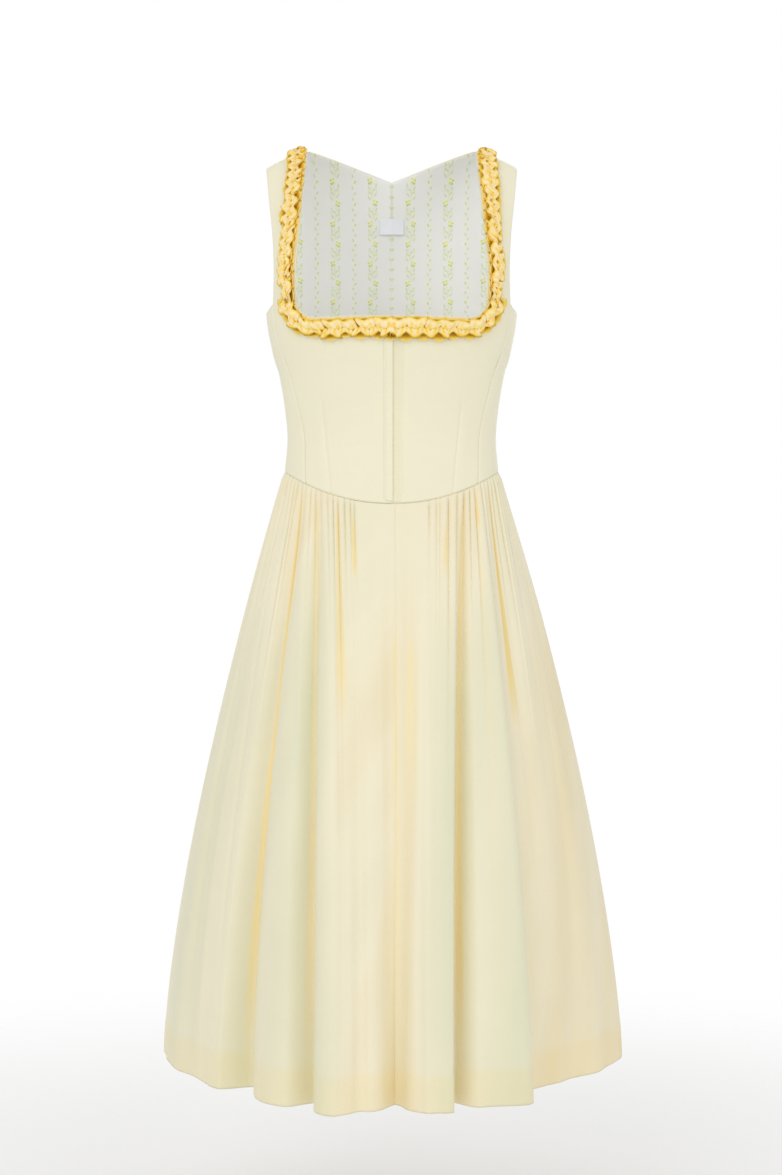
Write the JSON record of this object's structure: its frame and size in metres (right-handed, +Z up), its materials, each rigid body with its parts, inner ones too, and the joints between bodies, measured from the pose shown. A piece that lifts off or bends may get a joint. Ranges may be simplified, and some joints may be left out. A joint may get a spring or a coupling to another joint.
{
  "type": "dirndl dress",
  "caption": "Sleeveless midi dirndl dress with a wide square neckline edged in a pinched ruche, a fitted bodice and a gathered skirt.",
  "frame": {"origin": "between the two shoulder straps, level with the top of them, where the wearer's shoulders carry the dress", "axes": "+Z up, the front of the dress faces -Y, +X to the wearer's left"},
  "size_m": [0.5869, 0.543, 1.1535],
  "materials": {
    "bodice_cloth": "soft satin",
    "skirt_cloth": "soft satin",
    "ruche_cloth": "soft satin",
    "lining_cloth": "matte",
    "label_cloth": "satin"
  },
  "bodies": {
    "root": {"bodice_front_left": "bodice_cloth", "bodice_front_right": "bodice_cloth", "bodice_side_left": "bodice_cloth", "bodice_side_right": "bodice_cloth", "bodice_back_left": "bodice_cloth", "bodice_back_right": "bodice_cloth", "front_fly": "bodice_cloth", "lining_back_left": "lining_cloth", "lining_back_right": "lining_cloth", "neck_label": "label_cloth", "ruche_left": "ruche_cloth", "ruche_right": "ruche_cloth", "skirt_front_left": "skirt_cloth", "skirt_front_right": "skirt_cloth", "skirt_back_left": "skirt_cloth", "skirt_back_right": "skirt_cloth"}
  },
  "joints": []
}
